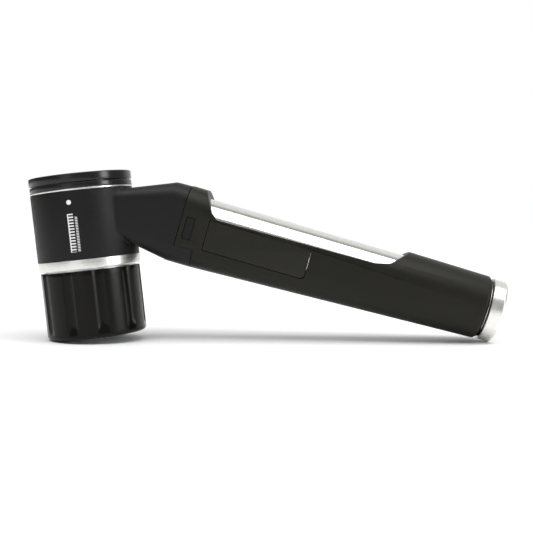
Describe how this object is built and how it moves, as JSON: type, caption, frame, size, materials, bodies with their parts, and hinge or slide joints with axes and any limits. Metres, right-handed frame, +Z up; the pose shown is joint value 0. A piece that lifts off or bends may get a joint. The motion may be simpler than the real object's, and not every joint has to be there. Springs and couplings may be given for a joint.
{
  "type": "handheld dermatoscope",
  "caption": "Hand-held skin magnifier with a lit round head, focusing eyepiece, contact glass and a battery handle set at an angle.",
  "frame": {"origin": "middle of the bounding box's footprint, on the surface that the scope lies on", "axes": "+X from the head to the battery cap, +Y across the handle away from the press tongue, +Z up"},
  "size_m": [0.1547, 0.0332, 0.0553],
  "materials": {
    "housing_plastic": "matte black moulding",
    "shell_plastic": "satin black moulding",
    "tongue_plastic": "satin black moulding",
    "grip_plastic": "satin black ribbed moulding",
    "contact_plastic": "gloss black",
    "base_plastic": "gloss black",
    "trim_aluminium": "turned bright",
    "band_aluminium": "turned satin",
    "tube_aluminium": "polished",
    "cap_aluminium": "turned satin",
    "plate_glass": "clear polished",
    "lens_glass": "coated clear",
    "seal_rubber": "matte",
    "black_anodised": "black anodised",
    "steel": "plated",
    "nickel": "nickel plated",
    "insulator_plastic": "natural",
    "board_white": "white solder mask",
    "led_lens": "phosphor",
    "diffuser_plastic": "frosted",
    "lead_pvc": "insulated wire",
    "board_green": "solder mask",
    "chip_plastic": "moulded",
    "battery_jacket": "printed jacket",
    "flex_film": "polyimide film",
    "plunger_plastic": "moulded"
  },
  "bodies": {
    "housing": {"head_housing": "housing_plastic", "trim_ring": "trim_aluminium", "base_ring": "base_plastic", "led_board": "board_white", "leds": "led_lens", "board_screws": "steel", "diffuser_ring": "diffuser_plastic", "baffle_tube": "black_anodised", "led_leads": "lead_pvc", "lens_tube": "band_aluminium", "handle_shell": "shell_plastic", "battery_tube": "tube_aluminium", "battery_front": "battery_jacket", "battery_rear": "battery_jacket", "contact_insulator": "insulator_plastic", "positive_contact": "nickel", "driver_board": "board_green", "driver_chips": "chip_plastic", "switch_flex": "flex_film", "tact_switch": "chip_plastic"},
    "contact_plate": {"contact_ring": "contact_plastic", "contact_glass": "plate_glass", "contact_o_ring": "seal_rubber"},
    "lens_carrier": {"lens_cell": "black_anodised", "eye_lens": "lens_glass", "field_lens": "lens_glass", "lens_spacer": "black_anodised", "lens_retainer": "black_anodised", "key_pin": "steel"},
    "eyepiece": {"focus_ring": "grip_plastic", "carrier_clip": "black_anodised"},
    "battery_cap": {"end_cap": "cap_aluminium", "cap_spring": "steel", "cap_o_ring": "seal_rubber"},
    "press_tongue": {"switch_paddle": "tongue_plastic"},
    "plunger": {"switch_plunger": "plunger_plastic"}
  },
  "joints": [
    {"name": "focus_travel", "type": "slide", "parent": "housing", "child": "lens_carrier", "axis": [-0.1064, 0, 0.9943], "range_m": [-0.00255, 0.00055]},
    {"name": "focus_turn", "type": "hinge", "parent": "lens_carrier", "child": "eyepiece", "pos_m": [-0.05535, 0, 0.00158], "axis": [-0.1064, 0, 0.9943], "range_deg": [-150, 30]},
    {"name": "contact_plate_lift", "type": "slide", "parent": "housing", "child": "contact_plate", "axis": [-0.1064, 0, 0.9943], "range_m": [0, 0.012]},
    {"name": "battery_cap_pull", "type": "slide", "parent": "housing", "child": "battery_cap", "axis": [0.9605, 0, -0.2784], "range_m": [0, 0.03]},
    {"name": "tongue_press", "type": "hinge", "parent": "housing", "child": "press_tongue", "pos_m": [-0.01745, -0.0099, 0.03616], "axis": [0.2784, 0, 0.9605], "range_deg": [0, 0.8], "stiffness_Nm_per_rad": 4.3},
    {"name": "plunger_press", "type": "slide", "parent": "housing", "child": "plunger", "axis": [0, 1, 0], "range_m": [0, 0.0004]}
  ],
  "couplings": [
    {"joint": "focus_travel", "follows": "focus_turn", "m_per_rad": 0.00095493},
    {"joint": "plunger_press", "follows": "tongue_press", "m_per_rad": 0.0273}
  ]
}
